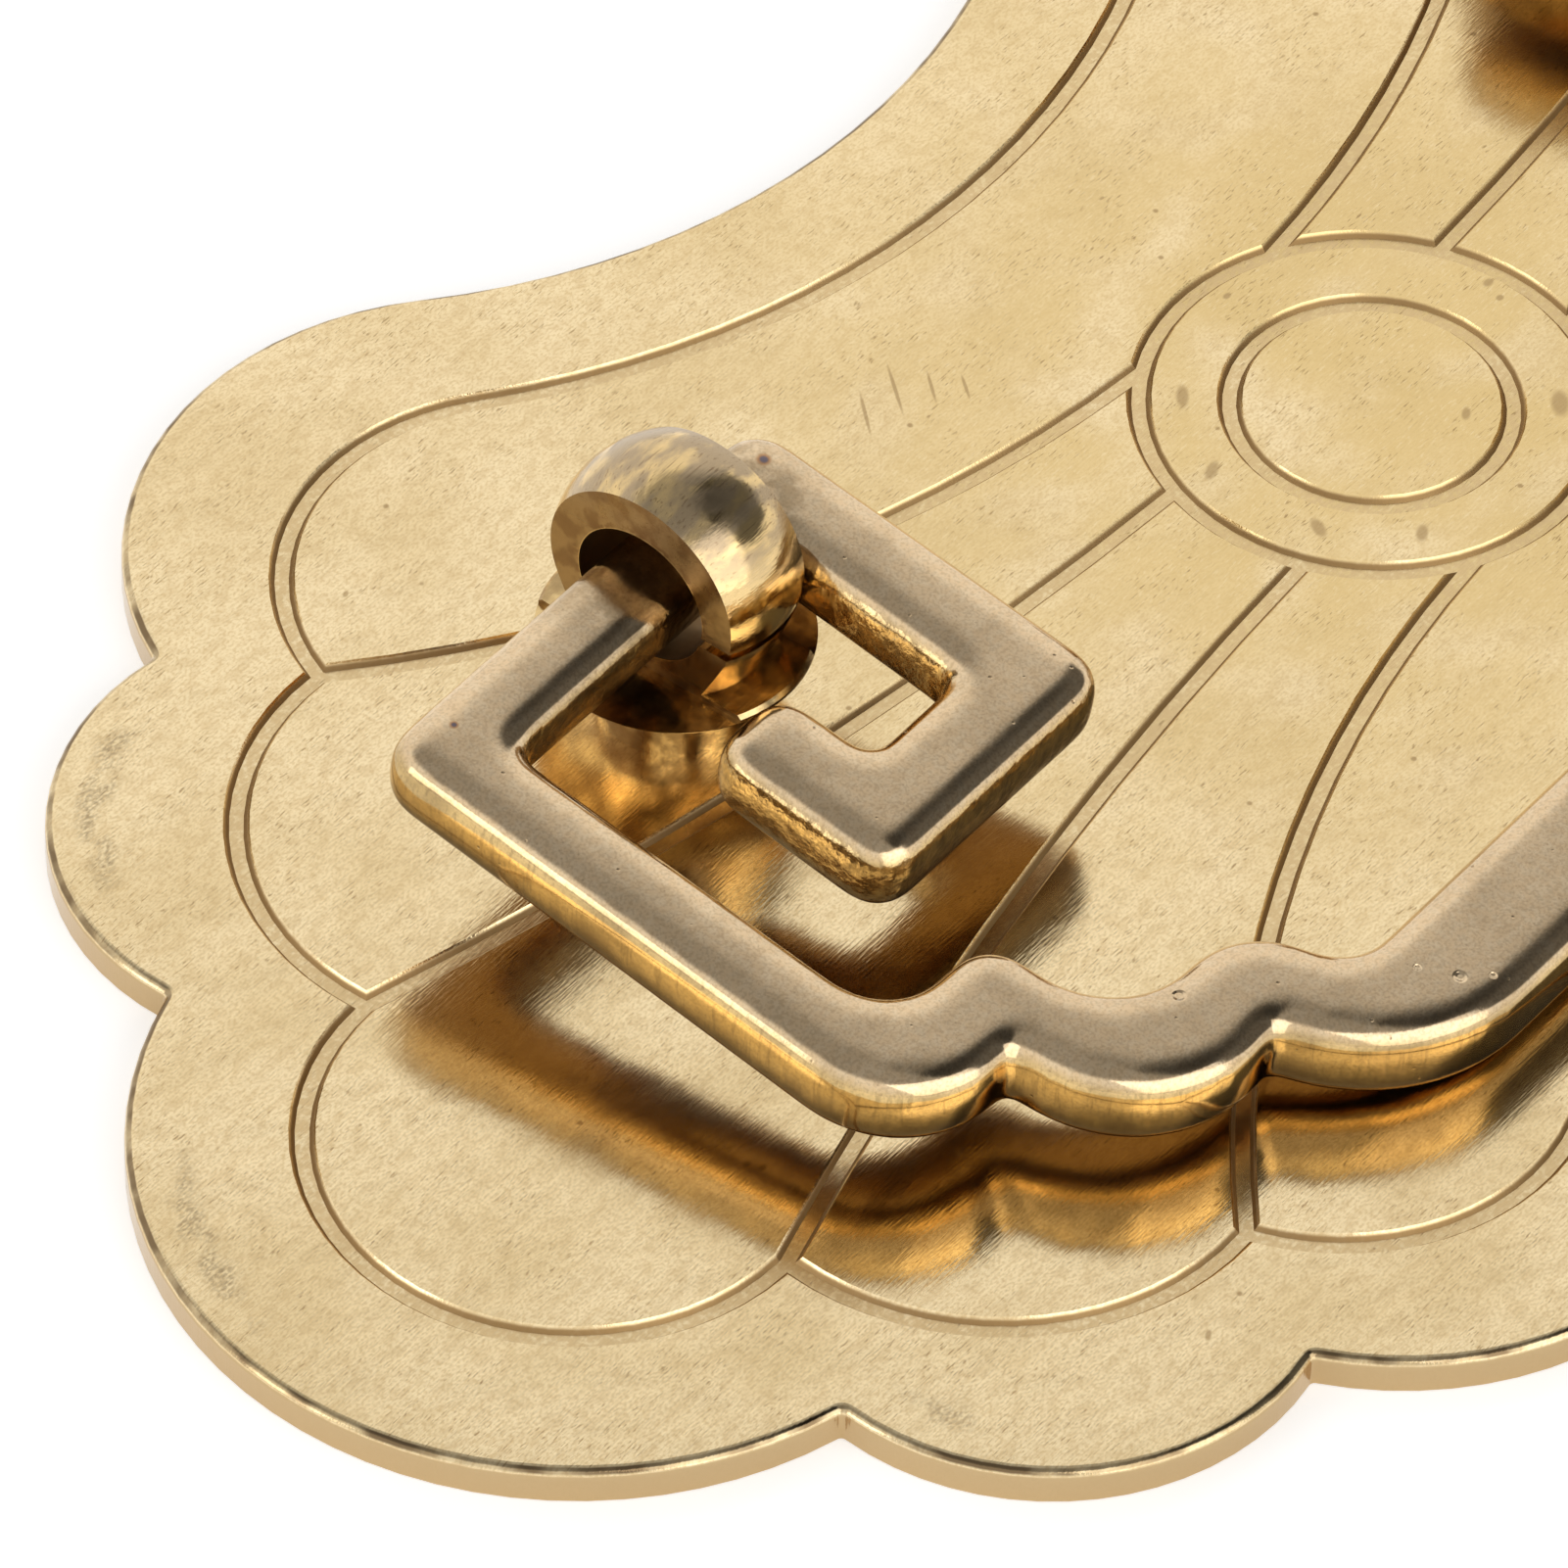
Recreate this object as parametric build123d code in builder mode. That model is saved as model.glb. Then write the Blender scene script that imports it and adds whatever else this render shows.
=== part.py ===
# Drawer pull: scalloped brass back plate, two eye posts and a swinging key-ended bail.
# Millimetres. The back face lies on z = 0 and the origin is midway between the two posts.
import os
from math import acos, asin, atan2, cos, degrees, hypot, pi, radians, sin, sqrt

from build123d import *

os.makedirs("parts", exist_ok=True)

# back plate, measured from its own middle
POST_SPACING = 76.2
PLATE_THICK = 2.0
PLATE_DROP = 14.2
PLATE_EDGE_R = 0.5
CUSP_R = 0.3
LOBE_TOP = (-36.2, 28.2)
LOBE_TOP_R = 17.7
LOBE_SIDE = (-54.9, 21.9)
LOBE_SIDE_R = 14.1
LOBE_END = (-63.3, 0.0)
LOBE_END_R = 21.5
WAIST_HALF = 32.4

# engraved lines in the plate
GROOVE_W = 1.3
GROOVE_FLOOR = 0.7
GROOVE_D = 0.35
LINE_TOP = (-36.1, 24.7)
LINE_TOP_R = 12.5
LINE_SIDE = (-49.1, 14.36)
LINE_SIDE_R = 14.3
LINE_END = (-63.5, 0.0)
LINE_END_R = 12.9
LINE_WAIST_HALF = 24.9
RING_R = 11.7
RING_IN_R = 7.15
RAY_UPPER_ANGLE = 117.0
RAY_UPPER_SAG = 3.8
RAY_LOWER_ANGLE = 160.0
RAY_LOWER_SAG = 1.5

# eye posts, heights above the plate's face
POST_FOOT_R = 4.0
POST_FOOT_H = 2.2
RIM_R = 6.95
RIM_LOW = 4.7
RIM_TOP = 5.1
RIM_LIP = 0.2
LEDGE_H = 5.0
NECK_R = 4.8
BALL_H = 9.95
BALL_R = 6.3
EYE_H = 9.5
EYE_HOLE_R = 3.85
EYE_THICK = 5.7
FLAT_FLOOR = 4.75
SLIT_H = 8.35
SLIT_W = 0.55
SPIGOT_R = 3.0
SPIGOT_FIT = 0.05
STAKE_R = 3.9
SCREW_R = 1.75
SCREW_DEPTH = 6.4

# bail, measured in its own plane from the middle of the pivot bar
BAR_W = 5.0
BAR_T = 4.3
GRIP_T = 5.1
BAR_LOW = 0.3
REST_GAP = 0.15
KEY_OUT = 58.4
KEY_IN = 29.3
KEY_FOOT = 20.3
KEY_END_X = 47.1
KEY_END_V = 8.9
KEY_W = 5.6
KEY_CORNER_R = 2.2
KEY_INNER_R = 1.0
KEY_TIP_R = 1.9
BAIL_TOP_R = 1.4
BAIL_UNDER_R = 1.6
GRIP_OUT = 46.7
GRIP_W = 7.3
STEP1_RISE = 8.2
STEP2_RISE = 5.8
STEP1_X = 46.1
HOLLOW1_R = 3.4
SHOULDER1_R = 2.5
HOLLOW2_R = 5.0
SHOULDER2_X = -40.5
SHOULDER2_R = 4.85
HOLLOW3_R = 3.0
SCALLOP1_R = 6.5
SCALLOP1_BACK = 22.1
SCALLOP2_X = -42.8
SCALLOP2_BACK = 15.3
SCALLOP2_R = 8.1
SCALLOP3_R = 11.0
SCALLOP3_X = -30.6
NOTCH_R = 0.3


def heading(centre, point):
    return degrees(atan2(point[1] - centre[1], point[0] - centre[0]))


def crossing(c1, r1, c2, r2, side):
    # point where two circles cross, on the left (+1) or right (-1) of the line between centres
    dx, dy = c2[0] - c1[0], c2[1] - c1[1]
    d = hypot(dx, dy)
    a = (d * d + r1 * r1 - r2 * r2) / (2 * d)
    h = side * sqrt(r1 * r1 - a * a)
    return (c1[0] + (a * dx - h * dy) / d, c1[1] + (a * dy + h * dx) / d)


def between(c1, r1, c2):
    # point on the first circle that lies towards the second centre
    d = hypot(c2[0] - c1[0], c2[1] - c1[1])
    return (c1[0] + r1 * (c2[0] - c1[0]) / d, c1[1] + r1 * (c2[1] - c1[1]) / d)


def waist(half, lobe, lobe_r):
    # hollow curve on the middle line that runs smoothly into a lobe
    rise = lobe[1] - half
    r = (lobe[0] ** 2 + rise**2 - lobe_r**2) / (2 * (lobe_r + rise))
    return (0.0, half + r), r


def sweep(centre, radius, start, end, turn):
    # arc from one point to another, counter-clockwise for turn +1
    a = heading(centre, start)
    size = (heading(centre, end) - a) % 360
    if turn < 0:
        size -= 360
    return CenterArc(centre, radius, a, size)


# outline of one quarter of the plate
WAIST_C, WAIST_R = waist(WAIST_HALF, LOBE_TOP, LOBE_TOP_R)
edge_waist = (0.0, WAIST_HALF)
edge_blend = between(LOBE_TOP, LOBE_TOP_R, WAIST_C)
edge_cusp1 = crossing(LOBE_TOP, LOBE_TOP_R, LOBE_SIDE, LOBE_SIDE_R, -1)
edge_cusp2 = crossing(LOBE_SIDE, LOBE_SIDE_R, LOBE_END, LOBE_END_R, -1)
edge_end = (LOBE_END[0] - LOBE_END_R, 0.0)

# engraved border of one quarter
LINE_WAIST_C, LINE_WAIST_R = waist(LINE_WAIST_HALF, LINE_TOP, LINE_TOP_R)
line_blend = between(LINE_TOP, LINE_TOP_R, LINE_WAIST_C)
line_cusp1 = crossing(LINE_TOP, LINE_TOP_R, LINE_SIDE, LINE_SIDE_R, -1)
line_cusp2 = crossing(LINE_SIDE, LINE_SIDE_R, LINE_END, LINE_END_R, -1)

plate_plane = Plane(origin=(0, -PLATE_DROP, 0))
plate_face = plate_plane.offset(PLATE_THICK)
post_xs = (-POST_SPACING / 2, POST_SPACING / 2)
groove_mouth = 2 * GROOVE_W - GROOVE_FLOOR


def groove(centre, radius, start, size):
    # flat-bottomed line with sloping sides, cut along an arc of the plate's face
    c = plate_face.from_local_coords(Vector(centre[0], centre[1], 0))
    a = radians(start)
    side = Plane(origin=c, x_dir=(cos(a), sin(a), 0), z_dir=(sin(a), -cos(a), 0))
    with BuildSketch(side) as cutter:
        with BuildLine():
            Polyline(
                (radius - GROOVE_FLOOR / 2, -GROOVE_D),
                (radius + GROOVE_FLOOR / 2, -GROOVE_D),
                (radius + groove_mouth / 2, GROOVE_D),
                (radius - groove_mouth / 2, GROOVE_D),
                close=True,
            )
        make_face()
    revolve(cutter.sketch, axis=Axis(c, (0, 0, 1)), revolution_arc=size, mode=Mode.SUBTRACT)


def dot(point):
    # round end where engraved lines meet
    c = plate_face.from_local_coords(Vector(point[0], point[1], 0))
    with Locations(c):
        Cone(GROOVE_FLOOR / 2, groove_mouth / 2, 2 * GROOVE_D, mode=Mode.SUBTRACT)


def flip(point, sx, sy):
    return (point[0] * sx, point[1] * sy)


def quarter_groove(centre, radius, start, end):
    # the same arc in all four quarters, running counter-clockwise in the first
    a = heading(centre, start)
    size = (heading(centre, end) - a) % 360
    for sx, sy in ((1, 1), (-1, 1), (1, -1), (-1, -1)):
        first = start if sx * sy > 0 else end
        c = flip(centre, sx, sy)
        groove(c, radius, heading(c, flip(first, sx, sy)), size)


def ray(start, angle, sag):
    # curved line from a border cusp to the ring
    end = (RING_R * cos(radians(angle)), RING_R * sin(radians(angle)))
    dx, dy = end[0] - start[0], end[1] - start[1]
    d = hypot(dx, dy)
    r = (d * d / 4 + sag * sag) / (2 * sag)
    mid = ((start[0] + end[0]) / 2, (start[1] + end[1]) / 2)
    c = (mid[0] - dy / d * (r - sag), mid[1] + dx / d * (r - sag))
    quarter_groove(c, r, start, end)


# back plate
with BuildPart() as back_plate:
    with BuildSketch(plate_plane) as plate_outline:
        with BuildLine():
            sweep(WAIST_C, WAIST_R, edge_waist, edge_blend, -1)
            sweep(LOBE_TOP, LOBE_TOP_R, edge_blend, edge_cusp1, 1)
            sweep(LOBE_SIDE, LOBE_SIDE_R, edge_cusp1, edge_cusp2, 1)
            sweep(LOBE_END, LOBE_END_R, edge_cusp2, edge_end, 1)
            mirror(about=Plane.XZ)
            mirror(about=Plane.YZ)
        make_face()
        for px, py in (edge_cusp1, edge_cusp2):
            for sx, sy in ((1, 1), (-1, 1), (1, -1), (-1, -1)):
                near = plate_outline.vertices().sort_by_distance((sx * px, sy * py, 0))[0]
                fillet(near, CUSP_R)
    extrude(amount=PLATE_THICK)
    fillet(back_plate.faces().sort_by(Axis.Z)[-1].edges(), PLATE_EDGE_R)
    # border, waist lines, rays and rings
    quarter_groove(LINE_TOP, LINE_TOP_R, line_blend, line_cusp1)
    quarter_groove(LINE_SIDE, LINE_SIDE_R, line_cusp1, line_cusp2)
    end_half = heading(LINE_END, line_cusp2)
    waist_half = heading(LINE_WAIST_C, line_blend)
    groove(LINE_END, LINE_END_R, end_half, 360 - 2 * end_half)
    groove(flip(LINE_END, -1, 1), LINE_END_R, end_half - 180, 360 - 2 * end_half)
    groove(LINE_WAIST_C, LINE_WAIST_R, waist_half, -180 - 2 * waist_half)
    groove(flip(LINE_WAIST_C, 1, -1), LINE_WAIST_R, -180 - waist_half - 180, 180 + 2 * waist_half)
    ray(line_cusp1, RAY_UPPER_ANGLE, RAY_UPPER_SAG)
    ray(line_cusp2, RAY_LOWER_ANGLE, RAY_LOWER_SAG)
    groove((0, 0), RING_R, 0, 360)
    groove((0, 0), RING_IN_R, 0, 360)
    for sx, sy in ((1, 1), (-1, 1), (1, -1), (-1, -1)):
        dot(flip(line_cusp1, sx, sy))
        dot(flip(line_cusp2, sx, sy))
    # holes for the posts, opened out at the back for the staked ends
    stake_depth = STAKE_R - SPIGOT_R
    for x in post_xs:
        with BuildSketch(Plane((x, 0, 0), x_dir=(1, 0, 0), z_dir=(0, -1, 0))):
            with BuildLine():
                Polyline(
                    (0, 0),
                    (STAKE_R + SPIGOT_FIT, 0),
                    (SPIGOT_R + SPIGOT_FIT, stake_depth),
                    (SPIGOT_R + SPIGOT_FIT, PLATE_THICK),
                    (0, PLATE_THICK),
                    close=True,
                )
            make_face()
        revolve(axis=Axis((x, 0, 0), (0, 0, 1)), mode=Mode.SUBTRACT)


def eye_post(x):
    # turned post: staked spigot, foot, flared rim, neck and ball, milled flat and split at the eye
    base = PLATE_THICK
    tangent = atan2(LEDGE_H - BALL_H, NECK_R) + acos(BALL_R / hypot(NECK_R, BALL_H - LEDGE_H))
    neck_end = (BALL_R * cos(tangent), base + BALL_H + BALL_R * sin(tangent))
    ball_top = (0, base + BALL_H + BALL_R)
    ball_mid = (BALL_R * cos(tangent / 2 + pi / 4), base + BALL_H + BALL_R * sin(tangent / 2 + pi / 4))
    with BuildPart() as post:
        with BuildSketch(Plane((x, 0, 0), x_dir=(1, 0, 0), z_dir=(0, -1, 0))):
            with BuildLine():
                Polyline(
                    (0, 0),
                    (STAKE_R, 0),
                    (SPIGOT_R, stake_depth),
                    (SPIGOT_R, base),
                    (POST_FOOT_R, base),
                    (POST_FOOT_R, base + POST_FOOT_H),
                )
                flare_mid = ((POST_FOOT_R + RIM_R) / 2 - 0.25, base + (POST_FOOT_H + RIM_LOW) / 2 + 0.25)
                ThreePointArc((POST_FOOT_R, base + POST_FOOT_H), flare_mid, (RIM_R, base + RIM_LOW))
                Polyline(
                    (RIM_R, base + RIM_LOW),
                    (RIM_R, base + RIM_TOP - RIM_LIP),
                    (RIM_R - RIM_LIP, base + RIM_TOP),
                    (NECK_R, base + LEDGE_H),
                    neck_end,
                )
                ThreePointArc(neck_end, ball_mid, ball_top)
                Line(ball_top, (0, 0))
            make_face()
        revolve(axis=Axis((x, 0, 0), (0, 0, 1)))
        # two milled flats across the pivot, taken down into the rim
        cut_h = BALL_H + BALL_R - FLAT_FLOOR + 1
        for side in (-1, 1):
            with Locations((x + side * (EYE_THICK / 2 + RIM_R), 0, base + FLAT_FLOOR + cut_h / 2)):
                Box(2 * RIM_R, 4 * RIM_R, cut_h, mode=Mode.SUBTRACT)
        with Locations(Plane((x, 0, base + EYE_H), z_dir=(1, 0, 0))):
            Cylinder(EYE_HOLE_R, 4 * RIM_R, mode=Mode.SUBTRACT)
        # slit where the eye was closed over the bar
        with Locations((x, -RIM_R / 2, base + SLIT_H + SLIT_W / 2)):
            Box(2 * RIM_R, RIM_R, SLIT_W, mode=Mode.SUBTRACT)
        # tapped hole from the back
        with Locations((x, 0, SCREW_DEPTH / 2)):
            Cylinder(SCREW_R, SCREW_DEPTH, mode=Mode.SUBTRACT)
    return post


left_post = eye_post(post_xs[0])
right_post = eye_post(post_xs[1])

# bail at rest: the bar sits in the eyes and the deeper grip lies down to the plate
reach = GRIP_OUT - BAIL_UNDER_R
drop = BAR_LOW + GRIP_T - BAR_T / 2 - BAIL_UNDER_R
need = EYE_H - BAIL_UNDER_R - REST_GAP
tilt = asin(need / hypot(reach, drop)) - atan2(drop, reach)
bail_up = (0, -sin(tilt), cos(tilt))
bar_mid = (0, BAR_LOW * sin(tilt), PLATE_THICK + EYE_H - BAR_LOW * cos(tilt))
bail_plane = Plane(origin=bar_mid, x_dir=(1, 0, 0), z_dir=bail_up)
taper = degrees(atan2(GRIP_T - BAR_T, GRIP_OUT))
bail_under = bail_plane.offset(-BAR_T / 2).rotated((taper, 0, 0))

# key and grip edges on the left half, v runs from the bar towards the grip
arm_in = -(KEY_OUT - BAR_W)
half_w = BAR_W / 2
key_arm = -(KEY_IN + KEY_W)
key_end_in = -(KEY_END_X - KEY_W)
key_foot_in = KEY_FOOT - KEY_W
grip_in = GRIP_OUT - GRIP_W
step2_in = grip_in - STEP2_RISE
step1_in = step2_in - STEP1_RISE
scallop1 = (SCALLOP1_R - KEY_OUT, GRIP_OUT - SCALLOP1_BACK)
scallop2 = (SCALLOP2_X, GRIP_OUT - SCALLOP2_BACK)
scallop3 = (SCALLOP3_X, GRIP_OUT - SCALLOP3_R)
notch1 = crossing(scallop1, SCALLOP1_R, scallop2, SCALLOP2_R, 1)
notch2 = crossing(scallop2, SCALLOP2_R, scallop3, SCALLOP3_R, 1)
hollow1 = (arm_in + HOLLOW1_R, step1_in - HOLLOW1_R)
shoulder1 = (-STEP1_X - SHOULDER1_R, step1_in + SHOULDER1_R)
hollow2 = (-STEP1_X + HOLLOW2_R, step2_in - HOLLOW2_R)
shoulder2 = (SHOULDER2_X, step2_in + SHOULDER2_R)
hollow3_v = grip_in - HOLLOW3_R
hollow3_dx = sqrt((SHOULDER2_R + HOLLOW3_R) ** 2 - (shoulder2[1] - hollow3_v) ** 2)
hollow3 = (shoulder2[0] + hollow3_dx, hollow3_v)
swell = between(shoulder2, SHOULDER2_R, hollow3)


def down(point):
    # bail measure to sketch point
    return (point[0], -point[1])


def bend(centre, radius, start, end, turn):
    return sweep(down(centre), radius, down(start), down(end), turn)


with BuildPart() as bail:
    with BuildSketch(bail_plane.offset(BAR_T / 2)) as bail_outline:
        with BuildLine():
            # inner edge from the middle of the grip out to the arm
            Line((0, -grip_in), (hollow3[0], -grip_in))
            bend(hollow3, HOLLOW3_R, (hollow3[0], grip_in), swell, -1)
            bend(shoulder2, SHOULDER2_R, swell, (shoulder2[0], step2_in), 1)
            Line((shoulder2[0], -step2_in), (hollow2[0], -step2_in))
            bend(hollow2, HOLLOW2_R, (hollow2[0], step2_in), (-STEP1_X, hollow2[1]), -1)
            Line((-STEP1_X, -hollow2[1]), (-STEP1_X, -shoulder1[1]))
            bend(shoulder1, SHOULDER1_R, (-STEP1_X, shoulder1[1]), (shoulder1[0], step1_in), 1)
            Line((shoulder1[0], -step1_in), (hollow1[0], -step1_in))
            bend(hollow1, HOLLOW1_R, (hollow1[0], step1_in), (arm_in, hollow1[1]), -1)
            # up the arm and round the square key
            Polyline(
                (arm_in, -hollow1[1]),
                (arm_in, -half_w),
                (key_arm, -half_w),
                (key_arm, -key_foot_in),
                (key_end_in, -key_foot_in),
                (key_end_in, -KEY_END_V),
                (-KEY_END_X, -KEY_END_V),
                (-KEY_END_X, -KEY_FOOT),
                (-KEY_IN, -KEY_FOOT),
                (-KEY_IN, half_w),
                (-KEY_OUT, half_w),
                (-KEY_OUT, -scallop1[1]),
            )
            # scalloped outer edge back to the middle
            bend(scallop1, SCALLOP1_R, (-KEY_OUT, scallop1[1]), notch1, 1)
            bend(scallop2, SCALLOP2_R, notch1, notch2, 1)
            bend(scallop3, SCALLOP3_R, notch2, (SCALLOP3_X, GRIP_OUT), 1)
            Line((SCALLOP3_X, -GRIP_OUT), (0, -GRIP_OUT))
            mirror(about=Plane.YZ)
        make_face()
        # corner rounds of the key
        outer_corners = ((KEY_OUT, half_w), (KEY_IN, half_w), (KEY_IN, -KEY_FOOT), (KEY_END_X, -KEY_FOOT))
        inner_corners = ((-arm_in, -half_w), (-key_arm, -half_w), (-key_arm, -key_foot_in))
        rounds = [(p, KEY_CORNER_R) for p in outer_corners]
        rounds += [(p, KEY_INNER_R) for p in inner_corners + ((-key_end_in, -key_foot_in),)]
        rounds += [(p, KEY_TIP_R) for p in ((-key_end_in, -KEY_END_V), (KEY_END_X, -KEY_END_V))]
        rounds += [((-n[0], -n[1]), NOTCH_R) for n in (notch1, notch2)]
        for (px, py), r in rounds:
            for s in (-1, 1):
                near = bail_outline.vertices().sort_by_distance((s * px, py, 0))[0]
                fillet(near, r)
    extrude(amount=-(BAR_T + GRIP_T))
    split(bisect_by=bail_under, keep=Keep.TOP)
    up = Axis(bail_plane.origin, bail_plane.z_dir)
    fillet(bail.faces().sort_by(up)[-1].edges(), BAIL_TOP_R)
    fillet(bail.faces().sort_by(up)[0].edges(), BAIL_UNDER_R)

back_plate.part.label = "back_plate"
left_post.part.label = "left_post"
right_post.part.label = "right_post"
bail.part.label = "bail"
export_step(back_plate.part, "parts/back_plate.step")
export_step(left_post.part, "parts/left_post.step")
export_step(right_post.part, "parts/right_post.step")
export_step(bail.part, "parts/bail.step")
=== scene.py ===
import math

import bpy
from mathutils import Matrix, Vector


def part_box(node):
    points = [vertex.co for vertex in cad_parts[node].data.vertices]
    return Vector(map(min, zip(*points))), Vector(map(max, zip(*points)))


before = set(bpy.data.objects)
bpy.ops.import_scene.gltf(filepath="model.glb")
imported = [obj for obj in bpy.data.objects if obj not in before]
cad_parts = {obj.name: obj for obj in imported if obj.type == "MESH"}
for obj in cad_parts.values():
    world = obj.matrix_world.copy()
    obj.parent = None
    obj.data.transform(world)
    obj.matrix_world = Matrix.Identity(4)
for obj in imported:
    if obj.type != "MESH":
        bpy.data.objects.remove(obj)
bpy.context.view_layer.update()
scene = bpy.context.scene
scene.view_settings.view_transform = "Standard"

# Back plate: a flat brass sheet, blanked to a scalloped outline and struck with sunk lines.
# It was brushed lengthways and left unlacquered, so it has a thin uneven tarnish, brown in the
# lines, with handling marks and smudges just inside the rim. The darker brown on the walls of
# the lines is painted shade.
# The dark line along the rounded rim edge is partly grime and partly a painted dark reflection.
PLATE_CLEAN = (0.97, 0.79, 0.485, 1.0)
PLATE_TARNISH = (0.89, 0.70, 0.395, 1.0)
PLATE_SHADE = (0.66, 0.47, 0.23, 1.0)
PLATE_GOLD = (0.77, 0.565, 0.25, 1.0)
PLATE_BROWN = (0.36, 0.23, 0.10, 1.0)
# for the smudges, and for the painted dark reflection along the rim edge
PLATE_SMUDGE_AND_DARK_REFLECTION = (0.22, 0.15, 0.08, 1.0)
PLATE_EDGE = (0.54, 0.385, 0.20, 1.0)
LINE_TAN = (0.74, 0.54, 0.28, 1.0)
# painted shade for the walls of the sunk lines
LINE_WALL_SHADE = (0.33, 0.20, 0.08, 1.0)
MARK_TAN = (0.42, 0.28, 0.13, 1.0)
PLATE_POLISH = 0.12
BRUSHING_DEPTH_MM = 0.007
MM_PER_M = 1000.0
# lobes of a quarter of the outline from the plate's middle: x, y and radius in millimetres
LOBES = ((36.2, 28.2, 17.7), (54.9, 21.9, 14.1), (63.3, 0.0, 21.5))
WAIST_CENTRE_Y, WAIST_R, WAIST_REACH = 69.98, 37.58, 24.6
LINE_LIP, LINE_FLOOR = 0.03, 0.2
# where a part of the plate begins and where it is full, in millimetres: from the rim, with
# negative values inside it, above the back, and from the plate's middle
INSIDE_RIM = (-0.7, -1.0)
AT_RIM = (-1.0, -0.6)
SMUDGES_INNER = (-3.7, -2.7)
SMUDGES_OUTER = (-1.2, -2.0)
OFF_THE_BACK = (0.9, 1.2)
HANDLED = (46.0, 8.0)
# brown spots and scratches on the face: x, y, turn, half length and half width
PLATE_MARKS = (
    (-5.7, -6.6, 39.0, 1.05, 0.42),
    (6.0, -21.5, 39.0, 1.2, 0.62),
    (-8.9, -10.9, 20.0, 0.9, 0.4),
    (-8.7, -17.4, 60.0, 0.9, 0.45),
    (-5.7, -21.6, 30.0, 0.8, 0.4),
    (1.4, -4.0, 0.0, 0.35, 0.22),
    (10.6, -13.6, 0.0, 0.45, 0.3),
    (10.1, -14.7, 0.0, 0.3, 0.25),
    (2.4, -18.3, 30.0, 0.6, 0.3),
    (-16.8, 4.9, 48.5, 1.9, 0.13),
    (-14.5, 4.8, 51.0, 2.3, 0.13),
    (-13.2, 3.5, 50.0, 1.4, 0.12),
    (-12.1, 2.2, 52.0, 1.1, 0.12),
    (-59.8, -21.9, 0.0, 0.3, 0.22),
    (-59.5, -22.6, 0.0, 0.3, 0.22),
    (-43.0, 16.9, 20.0, 0.3, 0.18),
    (-54.4, -45.4, 30.0, 0.45, 0.2),
)
# where hands have left smudges inside the rim, in the same terms
RUBBED_SPOTS = (
    (-61.5, 17.5, 40.0, 8.0, 5.0),
    (-80.5, -4.5, 65.0, 9.0, 4.0),
    (-70.0, -40.0, 20.0, 7.0, 5.0),
    (62.0, 17.0, -40.0, 6.0, 5.0),
    (79.0, -20.0, 100.0, 8.0, 4.0),
)


def brass(name):
    made = bpy.data.materials.new(name)
    made.use_nodes = True
    metal = made.node_tree.nodes["Principled BSDF"]
    metal.inputs["Metallic"].default_value = 1.0
    return made, made.node_tree, metal


def add(tree, kind, **settings):
    made = tree.nodes.new("ShaderNode" + kind)
    for name, value in settings.items():
        setattr(made, name, value)
    return made


def put(tree, value, socket):
    # an output is linked to the socket, any other value is set on it
    if isinstance(value, bpy.types.NodeSocket):
        tree.links.new(value, socket)
    else:
        socket.default_value = value


def maths(tree, operation, first, second=0.0):
    made = add(tree, "Math", operation=operation)
    put(tree, first, made.inputs[0])
    put(tree, second, made.inputs[1])
    return made.outputs[0]


def vector_maths(tree, operation, first, second=(0.0, 0.0, 0.0)):
    made = add(tree, "VectorMath", operation=operation)
    put(tree, first, made.inputs[0])
    put(tree, second, made.inputs[1])
    one_number = operation in ("DISTANCE", "LENGTH", "DOT_PRODUCT")
    return made.outputs["Value" if one_number else "Vector"]


def split(tree, vector):
    parts = add(tree, "SeparateXYZ")
    put(tree, vector, parts.inputs[0])
    return parts.outputs


def in_mm(tree):
    where = add(tree, "TexCoord")
    return vector_maths(tree, "MULTIPLY", where.outputs["Object"], (MM_PER_M,) * 3)


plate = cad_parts["back_plate"]
plate_low, plate_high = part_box("back_plate")
face_z = MM_PER_M * plate_high.z
middle_y = MM_PER_M * (plate_low.y + plate_high.y) / 2.0

plate_brass, tree, metal = brass("plate_brass")
place = in_mm(tree)
axes = split(tree, place)
from_middle = vector_maths(tree, "ADD", place, (0.0, -middle_y, 0.0))
quarter = vector_maths(tree, "ABSOLUTE", from_middle)
quarter = vector_maths(tree, "MULTIPLY", quarter, (1.0, 1.0, 0.0))
quarter_axes = split(tree, quarter)

# distance from the rim, negative inside the outline
waist_away = vector_maths(tree, "DISTANCE", quarter, (0.0, WAIST_CENTRE_Y, 0.0))
waist_side = maths(tree, "SUBTRACT", WAIST_R, waist_away)
waist_end = maths(tree, "SUBTRACT", quarter_axes["X"], WAIST_REACH)
rim = maths(tree, "MAXIMUM", waist_side, waist_end)
end_x, end_y, end_r = LOBES[-1]
body_end = maths(tree, "SUBTRACT", quarter_axes["X"], end_x)
body_side = maths(tree, "SUBTRACT", quarter_axes["Y"], end_y + end_r)
rim = maths(tree, "MINIMUM", rim, maths(tree, "MAXIMUM", body_end, body_side))
for lobe_x, lobe_y, lobe_r in LOBES:
    lobe_away = vector_maths(tree, "DISTANCE", quarter, (lobe_x, lobe_y, 0.0))
    rim = maths(tree, "MINIMUM", rim, maths(tree, "SUBTRACT", lobe_away, lobe_r))


def product(tree, first, *rest):
    for factor in rest:
        first = maths(tree, "MULTIPLY", first, factor)
    return first


def fade(tree, value, start, end):
    # 0 at the start and 1 at the end, smooth between them
    made = add(tree, "MapRange", interpolation_type="SMOOTHSTEP")
    put(tree, value, made.inputs["Value"])
    made.inputs["From Min"].default_value = start
    made.inputs["From Max"].default_value = end
    return made.outputs["Result"]


def facing(tree, direction):
    # how squarely the surface faces a direction of the piece's own frame
    where = add(tree, "TexCoord")
    return vector_maths(tree, "DOT_PRODUCT", where.outputs["Normal"], direction)


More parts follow.
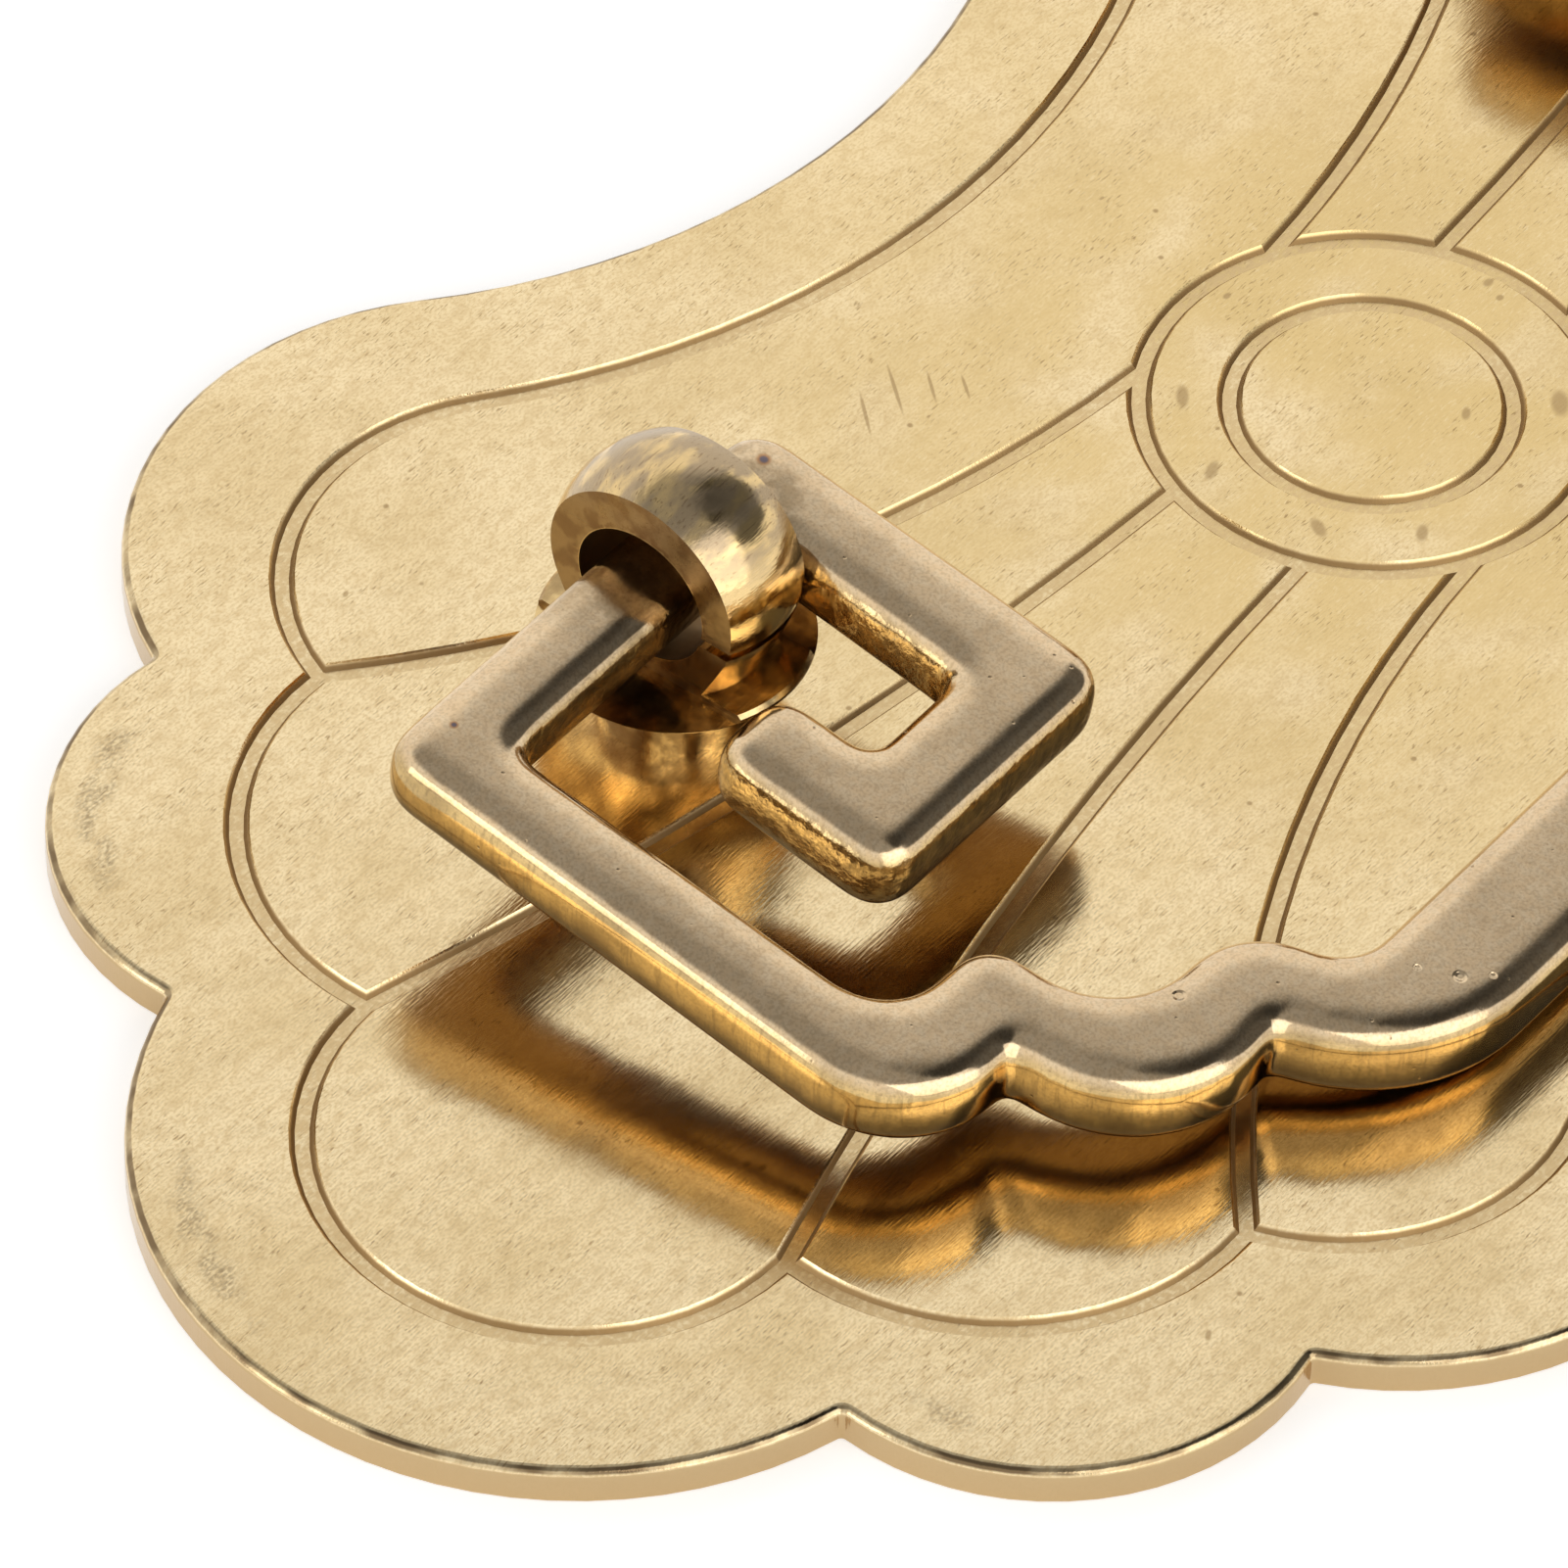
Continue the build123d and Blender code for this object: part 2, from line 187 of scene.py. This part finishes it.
upward = facing(tree, (0.0, 0.0, 1.0))
on_face = fade(tree, upward, 0.6, 0.9)
off_face = maths(tree, "SUBTRACT", 1.0, on_face)
sunk = fade(tree, axes["Z"], face_z - LINE_LIP, face_z - LINE_FLOOR)
in_line = product(tree, sunk, fade(tree, rim, *INSIDE_RIM), fade(tree, axes["Z"], *OFF_THE_BACK))
# the walls of the sunk lines, which get painted shade
line_wall_shade = product(tree, in_line, fade(tree, upward, 0.97, 0.85))
at_rim = fade(tree, rim, *AT_RIM)
on_edge = product(tree, fade(tree, upward, 0.5, 0.25), at_rim)
on_arris = product(tree, fade(tree, upward, 0.985, 0.93), fade(tree, upward, 0.4, 0.65), at_rim)


def grain(tree, place, per_mm, detail=2.0):
    # noise of so many waves per millimetre along x, y and z
    noise = add(tree, "TexNoise")
    noise.inputs["Scale"].default_value = 1.0
    noise.inputs["Detail"].default_value = detail
    tree.links.new(vector_maths(tree, "MULTIPLY", place, per_mm), noise.inputs["Vector"])
    return noise.outputs["Fac"]


def patches(tree, place, per_mm, start, end, detail=3.0):
    return fade(tree, grain(tree, place, per_mm, detail), start, end)


SPECK_CORE = 0.4


def specks(tree, place, per_mm, radius, share):
    # round specks, in about this share of the cells
    cells = add(tree, "TexVoronoi")
    cells.inputs["Scale"].default_value = per_mm
    tree.links.new(place, cells.inputs["Vector"])
    chosen = maths(tree, "LESS_THAN", cells.outputs["Color"], share)
    round_spots = fade(tree, cells.outputs["Distance"], radius, SPECK_CORE * radius)
    return product(tree, round_spots, chosen)


MARK_CORE = 0.45


def mark(tree, place, centre, turn, reach):
    # soft-edged oval spot, 1 in its middle
    oval = add(tree, "Mapping", vector_type="TEXTURE")
    tree.links.new(place, oval.inputs["Vector"])
    oval.inputs["Location"].default_value = centre
    oval.inputs["Rotation"].default_value = (0.0, 0.0, math.radians(turn))
    oval.inputs["Scale"].default_value = reach
    return fade(tree, vector_maths(tree, "LENGTH", oval.outputs["Vector"]), 1.0, MARK_CORE)


THROUGH_MM = 1000.0


def face_marks(tree, place, ovals):
    shown = 0.0
    for x, y, turn, half_long, half_wide in ovals:
        spot = mark(tree, place, (x, y, 0.0), turn, (half_long, half_wide, THROUGH_MM))
        shown = maths(tree, "MAXIMUM", shown, spot)
    return shown


blotches = patches(tree, place, (0.11, 0.13, 0.1), 0.36, 0.72, detail=2.0)
mottle = patches(tree, place, (0.9, 1.5, 1.0), 0.42, 0.68)
sandy = patches(tree, place, (4.5, 6.5, 4.0), 0.42, 0.66, detail=2.0)
by_medallion = fade(tree, vector_maths(tree, "LENGTH", from_middle), *HANDLED)
handled = product(tree, by_medallion, patches(tree, place, (0.16, 0.2, 0.1), 0.2, 0.6, detail=1.0))
tick_groups = patches(tree, place, (0.35, 0.5, 0.3), 0.4, 0.62, detail=1.0)
ticks = patches(tree, place, (1.5, 11.0, 1.0), 0.59, 0.68, detail=2.0)
ticks = product(tree, ticks, tick_groups, on_face)
pale_ticks = patches(tree, place, (1.7, 8.0, 2.0), 0.60, 0.70, detail=1.0)
near_rim = product(tree, fade(tree, rim, *SMUDGES_INNER), fade(tree, rim, *SMUDGES_OUTER))
rubbed = product(tree, near_rim, face_marks(tree, place, RUBBED_SPOTS))
streaky = patches(tree, place, (0.45, 0.6, 0.5), 0.40, 0.62, detail=1.0)
fine_streaks = patches(tree, place, (3.0, 6.0, 1.0), 0.34, 0.68, detail=2.0)
smudges = product(tree, rubbed, streaky, fine_streaks)
ragged = patches(tree, place, (0.35, 0.35, 0.35), 0.35, 0.65, detail=2.0)
dust = specks(tree, place, per_mm=0.42, radius=0.09, share=0.3)
spots = face_marks(tree, place, PLATE_MARKS)
line_dirt = patches(tree, place, (3.5, 3.5, 1.0), 0.3, 0.6, detail=1.0)


def summed(tree, start, parts):
    # the start value, plus each pattern times its share
    total = start
    for pattern, share in parts:
        total = maths(tree, "ADD", product(tree, pattern, share), total)
    return total


# a Mix node's sockets for colours, which have the same names as those for its other types
MIX_AMOUNT, MIX_UNDER, MIX_OVER, MIX_RESULT = 0, 6, 7, 2


def layered(tree, colour, layers):
    # each layer, from the metal up: where it lies, how strongly it covers there, and its colour
    for where, cover, stain in layers:
        mix = add(tree, "Mix", data_type="RGBA")
        put(tree, product(tree, where, cover), mix.inputs[MIX_AMOUNT])
        put(tree, colour, mix.inputs[MIX_UNDER])
        put(tree, stain, mix.inputs[MIX_OVER])
        colour = mix.outputs[MIX_RESULT]
    return colour


colour = layered(tree, PLATE_CLEAN, (
    (blotches, 1.0, PLATE_TARNISH),
    (mottle, 0.36, PLATE_SHADE),
    (sandy, 0.5, PLATE_SHADE),
    (handled, 0.8, PLATE_GOLD),
    (ticks, 0.8, PLATE_BROWN),
    (product(tree, pale_ticks, on_face), 0.4, PLATE_CLEAN),
    (smudges, 0.6, PLATE_SMUDGE_AND_DARK_REFLECTION),
    # a ragged dark line along the rounded rim edge, partly grime and partly a painted dark
    # reflection
    (product(tree, on_arris, summed(tree, 0.3, ((ragged, 0.75),))), 1.0, PLATE_SMUDGE_AND_DARK_REFLECTION),
    (product(tree, dust, on_face), 0.7, PLATE_BROWN),
    (product(tree, spots, on_face), 0.7, MARK_TAN),
    (product(tree, in_line, line_dirt), 0.8, LINE_TAN),
    # painted shade on the walls of the sunk lines
    (line_wall_shade, 0.9, LINE_WALL_SHADE),
    (on_edge, 0.95, PLATE_EDGE),
))
tree.links.new(colour, metal.inputs["Base Color"])

dullness = summed(tree, PLATE_POLISH, ((blotches, 0.06), (in_line, 0.1), (line_wall_shade, 0.25)))
tree.links.new(dullness, metal.inputs["Roughness"])


def relief(tree, metal, height, depth_mm):
    bump = add(tree, "Bump")
    bump.inputs["Strength"].default_value = 1.0
    bump.inputs["Distance"].default_value = depth_mm / MM_PER_M
    tree.links.new(height, bump.inputs["Height"])
    tree.links.new(bump.outputs["Normal"], metal.inputs["Normal"])


def dress(piece, material):
    piece.data.materials.clear()
    piece.data.materials.append(material)


brushing = product(tree, grain(tree, place, (0.9, 8.0, 1.0)), on_face)
filing = product(tree, grain(tree, place, (9.0, 9.0, 0.5), detail=1.0), off_face)
rolling = grain(tree, place, (0.35, 0.5, 0.4), detail=1.0)
tooth = summed(tree, 0.0, ((brushing, 1.0), (filing, 1.0), (rolling, 3.0)))
relief(tree, metal, tooth, BRUSHING_DEPTH_MM)
dress(plate, plate_brass)

# Eye posts: two turned brass pillars staked into the plate, each with a flared rim under a
# ball that is milled flat on two sides and drilled for the bail. The ball is polished and
# scuffed on top and the flats are dull. The dark brown in the eye and under the rim is partly
# old grime and partly painted shade.
POST_GOLD = (0.84, 0.61, 0.29, 1.0)
POST_SCUFF = (0.41, 0.315, 0.21, 1.0)
POST_FLAT = (0.36, 0.245, 0.12, 1.0)
# grime, also used as painted shade in the eye and under the rim
POST_GRIME_AND_SHADE = (0.20, 0.11, 0.045, 1.0)
POST_POLISH = 0.11
TURNING_DEPTH_MM = 0.006
EYE_AXIS_Z = 11.5
EYE_R = 3.85
# how far round the eye the clean flat begins, the grime and painted shade inside it end and the
# stains reach
FLAT_FROM, GRIME_TO, STAINS_TO = 0.05, 0.12, 0.9
BALL_TOP = (13.5, 16.5)
UNDER_BALL = (7.7, 6.8)

post_brass, tree, metal = brass("post_brass")
place = in_mm(tree)
axes = split(tree, place)
across = vector_maths(tree, "ADD", place, (0.0, 0.0, -EYE_AXIS_Z))
across = vector_maths(tree, "MULTIPLY", across, (0.0, 1.0, 1.0))
eye_away = vector_maths(tree, "LENGTH", across)
sideways = maths(tree, "ABSOLUTE", facing(tree, (1.0, 0.0, 0.0)))

outside_eye = fade(tree, eye_away, EYE_R, EYE_R + FLAT_FROM)
on_flat = product(tree, fade(tree, sideways, 0.93, 0.985), outside_eye)
# inside the eye: grime and painted shade
inside_eye = fade(tree, eye_away, EYE_R + GRIME_TO, EYE_R)
in_eye = product(tree, inside_eye, fade(tree, sideways, 0.3, 0.1))
round_eye = fade(tree, eye_away, EYE_R + STAINS_TO, EYE_R)
near_eye = product(tree, round_eye, patches(tree, place, (1.6, 1.6, 1.6), 0.5, 0.6), on_flat)
on_top = fade(tree, axes["Z"], *BALL_TOP)
scuffs = product(tree, on_top, patches(tree, place, (0.35, 0.8, 0.8), 0.34, 0.56, detail=5.0))
scratches = product(tree, on_top, patches(tree, place, (0.5, 8.0, 8.0), 0.6, 0.7, detail=2.0))
dull_spots = patches(tree, place, (0.7, 0.8, 0.7), 0.48, 0.64, detail=5.0)
# under the rim and down the foot: patchy grime and painted shade
under_ball = fade(tree, axes["Z"], *UNDER_BALL)
low_patches = patches(tree, place, (0.9, 0.9, 0.9), 0.36, 0.64, detail=4.0)
flecks = specks(tree, place, per_mm=1.3, radius=0.13, share=0.3)

colour = layered(tree, POST_GOLD, (
    (scuffs, 0.85, POST_SCUFF),
    (dull_spots, 0.15, POST_SCUFF),
    (on_flat, 1.0, POST_FLAT),
    (product(tree, dull_spots, on_flat), 0.6, POST_GRIME_AND_SHADE),
    # painted shade, partly grime, under the rim
    (product(tree, under_ball, low_patches), 0.7, POST_GRIME_AND_SHADE),
    (scratches, 0.5, POST_GRIME_AND_SHADE),
    (near_eye, 0.7, POST_GRIME_AND_SHADE),
    (flecks, 0.5, POST_GRIME_AND_SHADE),
    # painted shade, partly grime, inside the eye
    (in_eye, 0.85, POST_GRIME_AND_SHADE),
))
tree.links.new(colour, metal.inputs["Base Color"])

dullness = summed(
    tree, POST_POLISH, ((scuffs, 0.16), (on_flat, 0.14), (in_eye, 0.25), (under_ball, 0.08))
)
tree.links.new(dullness, metal.inputs["Roughness"])

turning = grain(tree, place, (0.5, 9.0, 9.0))
wear = grain(tree, place, (0.7, 0.9, 0.8))
relief(tree, metal, summed(tree, 0.0, ((turning, 1.0), (wear, 6.0))), TURNING_DEPTH_MM)
for name in ("left_post", "right_post"):
    dress(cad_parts[name], post_brass)

# Bail: one brass casting of rounded square bar, with a square key at each end and stepped
# shoulders. It was tumbled smooth and hands have greyed its upper side; the inner sides keep
# the rough skin and parting seam of the casting. It hangs loose in the eyes.
BAIL_GREY = (0.79, 0.59, 0.365, 1.0)
BAIL_GOLD = (0.72, 0.505, 0.215, 1.0)
BAIL_WORN = (0.86, 0.74, 0.54, 1.0)
BAIL_DARK = (0.23, 0.155, 0.075, 1.0)
# underside: tarnish and painted shade
BAIL_UNDER_TARNISH_AND_SHADE = (0.24, 0.15, 0.06, 1.0)
RUST_RED = (0.42, 0.19, 0.07, 1.0)
RUST_BLUE = (0.13, 0.13, 0.18, 1.0)
BAIL_POLISH = 0.10
SKIN_DEPTH_MM = 0.004
BAIL_TILT = math.radians(7.8)
BAIL_MIDDLE_Z = 11.2
EYE_X = 38.1
SEAM_DROP, SEAM_WANDER = 1.25, 1.4
SEAM_WIDTH = (0.16, 0.04)
# where a part of the bail begins and where it is full, in millimetres: outwards to the keys'
# outer sides, along their length, below the edge of the darkened lower side, and from an eye
KEYS_OUT = (55.5, 54.0)
KEYS_ALONG = (-23.0, -21.0)
LOW_SIDE, LOW_SIDE_WANDER = (1.9, -0.2), 2.4
# where the bar runs through an eye: grime and painted shade
EYE_SHADE_X = (10.0, 4.0)
EYE_SHADE_Y = (4.5, 2.0)
# place in millimetres, then radius
RUST_SPOTS = ((-31.4, 0.0, 13.4, 0.5), (-54.8, 0.3, 13.4, 0.3))
RUST_CORE = 0.6
DENTS = (
    (-43.0, -34.6, 8.1, 0.42),
    (-32.6, -43.6, 6.7, 0.42),
    (-33.6, -41.8, 7.0, 0.25),
    (-31.4, -44.7, 6.5, 0.25),
)
SPOT_DEPTH_MM = 2.0
NOISE_MEAN = 0.5

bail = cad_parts["bail"]
bail_brass, tree, metal = brass("bail_brass")
place = in_mm(tree)
axes = split(tree, place)
along = maths(tree, "ABSOLUTE", axes["X"])
bail_up = (0.0, -math.sin(BAIL_TILT), math.cos(BAIL_TILT))
raised = vector_maths(tree, "ADD", place, (0.0, 0.0, -BAIL_MIDDLE_Z))
level = vector_maths(tree, "DOT_PRODUCT", raised, bail_up)
upward = facing(tree, bail_up)
on_top = fade(tree, upward, 0.35, 0.85)
on_side = fade(tree, maths(tree, "ABSOLUTE", upward), 0.75, 0.4)
# faces turned down, darkened with tarnish and painted shade
beneath = fade(tree, upward, -0.55, -0.9)

keyed = product(tree, fade(tree, along, *KEYS_OUT), fade(tree, axes["Y"], *KEYS_ALONG))
rough_skin = product(tree, keyed, on_side)
wander = maths(tree, "SUBTRACT", grain(tree, place, (0.5, 0.5, 0.5), detail=4.0), NOISE_MEAN)
seam_level = maths(tree, "ADD", level, SEAM_DROP)
seam_off = maths(tree, "ABSOLUTE", summed(tree, seam_level, ((wander, SEAM_WANDER),)))
seam = product(tree, fade(tree, seam_off, *SEAM_WIDTH), rough_skin)

tumbled = patches(tree, place, (0.35, 0.35, 0.35), 0.35, 0.7)
fine_grey = patches(tree, place, (2.2, 2.2, 2.2), 0.35, 0.7)
sandy = patches(tree, place, (6.0, 6.0, 6.0), 0.42, 0.66, detail=2.0)
pits = specks(tree, place, per_mm=0.9, radius=0.1, share=0.35)
small_pits = specks(tree, place, per_mm=2.1, radius=0.16, share=0.4)
stains = patches(tree, place, (0.22, 0.22, 0.22), 0.46, 0.68, detail=4.0)
stains = product(tree, stains, summed(tree, 0.15, ((on_side, 0.35),)))
low_grain = grain(tree, place, (0.7, 0.7, 0.3), detail=3.0)
# the sides darken towards their lower edge: tarnish and painted shade
low_edge = summed(tree, level, ((low_grain, LOW_SIDE_WANDER),))
low_side_tarnish_and_shade = product(tree, on_side, fade(tree, low_edge, *LOW_SIDE))
file_marks = product(tree, on_side, patches(tree, place, (4.0, 4.0, 0.5), 0.52, 0.66))
crust = patches(tree, place, (1.6, 1.6, 1.6), 0.45, 0.65, detail=4.0)
# dark patches on the bar where it runs through an eye: grime and painted shade
from_eye = maths(tree, "ABSOLUTE", maths(tree, "SUBTRACT", along, EYE_X))
from_bar = maths(tree, "ABSOLUTE", axes["Y"])
by_eye = product(tree, fade(tree, from_eye, *EYE_SHADE_X), fade(tree, from_bar, *EYE_SHADE_Y))
eye_grime_and_shade = product(tree, by_eye, patches(tree, place, (0.8, 0.8, 0.8), 0.36, 0.6))


def round_spot(tree, place, spot, share=1.0):
    x, y, z, radius = spot
    return mark(tree, place, (x, y, z), 0.0, (share * radius, share * radius, SPOT_DEPTH_MM))


rust = []
for spot in RUST_SPOTS:
    rust.append((round_spot(tree, place, spot), 0.75, RUST_RED))
    rust.append((round_spot(tree, place, spot, RUST_CORE), 0.85, RUST_BLUE))
colour = layered(tree, BAIL_GOLD, (
    (on_top, 1.0, BAIL_GREY),
    (product(tree, fine_grey, on_top), 0.3, BAIL_WORN),
    (sandy, 0.24, BAIL_DARK),
    (stains, 1.0, BAIL_DARK),
    # darker lower sides, tarnish and painted shade
    (low_side_tarnish_and_shade, 0.85, BAIL_DARK),
    (file_marks, 0.35, BAIL_DARK),
    (product(tree, crust, rough_skin), 0.5, BAIL_DARK),
    # painted shade, partly grime, beside the eyes
    (eye_grime_and_shade, 0.6, BAIL_DARK),
    # tarnish and painted shade on the underside
    (beneath, 1.0, BAIL_UNDER_TARNISH_AND_SHADE),
    (seam, 0.8, BAIL_DARK),
    (pits, 0.6, BAIL_DARK),
    (small_pits, 0.3, BAIL_DARK),
    *rust,
))
tree.links.new(colour, metal.inputs["Base Color"])

# the flats have stayed matt, and the worn edges are polished
matt = product(tree, on_top, fade(tree, upward, 0.975, 0.995))
dullness = summed(tree, BAIL_POLISH, ((tumbled, 0.05), (matt, 0.05), (rough_skin, 0.1)))
tree.links.new(dullness, metal.inputs["Roughness"])

skin = grain(tree, place, (1.3, 1.3, 1.3), detail=3.0)
skin = product(tree, skin, summed(tree, 1.0, ((rough_skin, 26.0),)))
tumbling = grain(tree, place, (0.4, 0.4, 0.4))
fine_skin = grain(tree, place, (7.0, 7.0, 7.0))
surface = [(skin, 1.0), (tumbling, 3.0), (fine_skin, 0.35), (pits, -4.5)]
for dent in DENTS:
    surface.append((round_spot(tree, place, dent), -24.0))
relief(tree, metal, summed(tree, 0.0, surface), SKIN_DEPTH_MM)
dress(bail, bail_brass)

# years of handling have worn its edges round, which leaves a slight crown on the flats
WEAR_GRID_MM = 0.3
WEAR_ROUNDS = 24
WEAR_EACH_ROUND = 0.5
even_mesh = bail.modifiers.new("even_mesh", "REMESH")
even_mesh.mode = "VOXEL"
even_mesh.voxel_size = WEAR_GRID_MM / MM_PER_M
even_mesh.use_smooth_shade = True
worn_edges = bail.modifiers.new("worn_edges", "SMOOTH")
worn_edges.factor = WEAR_EACH_ROUND
worn_edges.iterations = WEAR_ROUNDS

# Stage: a white table under the pull, a pale room that is dim overhead and dark in one corner,
# and two soft boxes, in front and on the left.
TABLE_WHITE = (0.85, 0.85, 0.85, 1.0)
TABLE_ROUGHNESS = 0.9
TABLE_GLOW_COLOUR = (1.0, 1.0, 1.0, 1.0)
TABLE_GLOW = 0.45
TABLE_REACH = 8.0
TABLE_Z = -0.0001
TABLE_CORNERS = ((-1, -1), (1, -1), (1, 1), (-1, 1))

floor_mesh = bpy.data.meshes.new("floor")
floor_mesh.from_pydata(
    [(TABLE_REACH * x, TABLE_REACH * y, TABLE_Z) for x, y in TABLE_CORNERS],
    [],
    [(0, 1, 2, 3)],
)
floor = bpy.data.objects.new("floor", floor_mesh)
scene.collection.objects.link(floor)
white_table = bpy.data.materials.new("white_table")
white_table.use_nodes = True
tree = white_table.node_tree
cloth = tree.nodes["Principled BSDF"]
cloth.inputs["Base Color"].default_value = TABLE_WHITE
cloth.inputs["Roughness"].default_value = TABLE_ROUGHNESS
cloth.inputs["Emission Color"].default_value = TABLE_GLOW_COLOUR
path = add(tree, "LightPath")
seen = maths(tree, "MAXIMUM", path.outputs["Is Camera Ray"], path.outputs["Is Glossy Ray"])
seen = maths(tree, "MAXIMUM", seen, path.outputs["Is Transmission Ray"])
tree.links.new(product(tree, seen, TABLE_GLOW), cloth.inputs["Emission Strength"])
floor.data.materials.append(white_table)

ROOM_TINT = (1.0, 0.985, 0.96, 1.0)
ROOM_BRIGHT = 1.0
ROOM_OVERHEAD = 0.36
ROOM_DARK = 0.12
DARK_CORNER = (0.601, -0.401, 0.691)
# where the room's dim and dark parts begin and where they are full
OVERHEAD_FROM = (0.70, 0.90)
DARK_FROM = (0.84, 0.895)

room = bpy.data.worlds.new("room")
scene.world = room
room.use_nodes = True
tree = room.node_tree
sky = tree.nodes["Background"]
sky.inputs["Color"].default_value = ROOM_TINT
direction = add(tree, "TexCoord").outputs["Generated"]
overhead = fade(tree, split(tree, direction)["Z"], *OVERHEAD_FROM)
to_corner = vector_maths(tree, "DOT_PRODUCT", direction, DARK_CORNER)
in_corner = fade(tree, to_corner, *DARK_FROM)
bright = summed(tree, ROOM_BRIGHT, ((overhead, ROOM_OVERHEAD - ROOM_BRIGHT),))
dimmed = summed(tree, 1.0, ((in_corner, ROOM_DARK - 1.0),))
tree.links.new(product(tree, bright, dimmed), sky.inputs["Strength"])

# name, place, size and power of each soft box, which faces the middle of the pull
SOFTBOXES = (
    ("front_softbox", (-0.16, -0.84, 0.48), 0.90, 2.6),
    ("left_softbox", (-0.86, 0.40, 0.34), 0.40, 0.75),
)
for name, lamp_place, size, power in SOFTBOXES:
    light = bpy.data.lights.new(name, "AREA")
    light.size = size
    light.energy = power
    lamp = bpy.data.objects.new(name, light)
    scene.collection.objects.link(lamp)
    lamp.location = lamp_place
    x, y, z = lamp_place
    tip = math.atan2(math.hypot(x, y), z)
    lamp.rotation_euler = (tip, 0.0, math.atan2(y, x) + math.pi / 2)
    lamp.visible_camera = False

# the camera stands where the perspective of the medallion and the outline puts it
CAMERA_PLACE = (-0.415039, -0.294582, 0.505378)
CAMERA_TURN = (0.753777, -0.019263, -0.898391)
SENSOR_MM = 36.0
LENS_MM = 324.95
FAR_END = 20.0
camera_data = bpy.data.cameras.new("camera")
camera_data.sensor_width = SENSOR_MM
camera_data.lens = LENS_MM
camera_data.clip_end = FAR_END
camera = bpy.data.objects.new("camera", camera_data)
camera.location = CAMERA_PLACE
camera.rotation_euler = CAMERA_TURN
scene.collection.objects.link(camera)
scene.camera = camera
